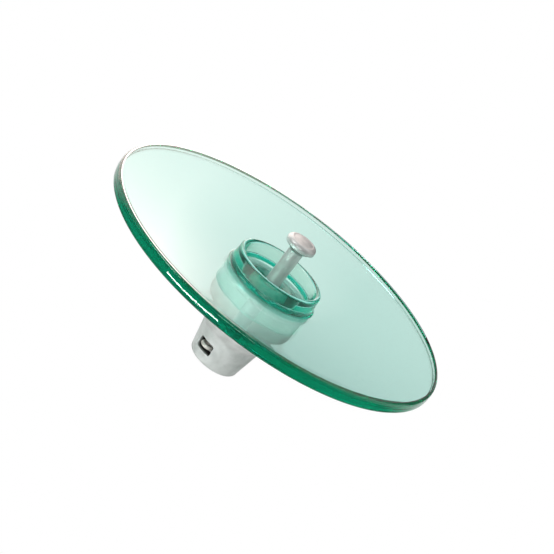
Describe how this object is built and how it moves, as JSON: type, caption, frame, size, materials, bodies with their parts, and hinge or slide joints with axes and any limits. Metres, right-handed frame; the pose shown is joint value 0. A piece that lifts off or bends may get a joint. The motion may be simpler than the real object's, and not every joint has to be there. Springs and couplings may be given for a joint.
{
  "type": "suspension disc insulator",
  "caption": "Cap-and-pin disc insulator: open-profile toughened glass shell, ball-ended steel pin and a cast cap with a ball socket and split-pin lock.",
  "frame": {"origin": "on the axis, in the plane of the cap's flat socket end, on which the unit stands", "axes": "+Z along the axis from the socket towards the pin's ball; +Y is the way a ball leaves the socket; the split pin comes out towards -Y"},
  "size_m": [0.39, 0.39, 0.163],
  "materials": {
    "galvanised_casting": "hot-dip galvanised, matte and mottled",
    "toughened_glass": "clear pale green, smooth",
    "galvanised_steel": "hot-dip galvanised, satin",
    "resilient_pad": "matte",
    "cement": "matte, fine grained",
    "stainless_wire": "drawn wire, satin"
  },
  "bodies": {
    "insulator": {"cap": "galvanised_casting", "glass_shell": "toughened_glass", "pin": "galvanised_steel", "pin_end_pad": "resilient_pad", "pin_cement": "cement", "cap_cement": "cement"},
    "locking_pin": {"split_pin": "stainless_wire"}
  },
  "joints": [
    {"name": "split_pin_slide", "type": "slide", "parent": "insulator", "child": "locking_pin", "axis": [0, -1, 0], "range_m": [0, 0.017]}
  ]
}
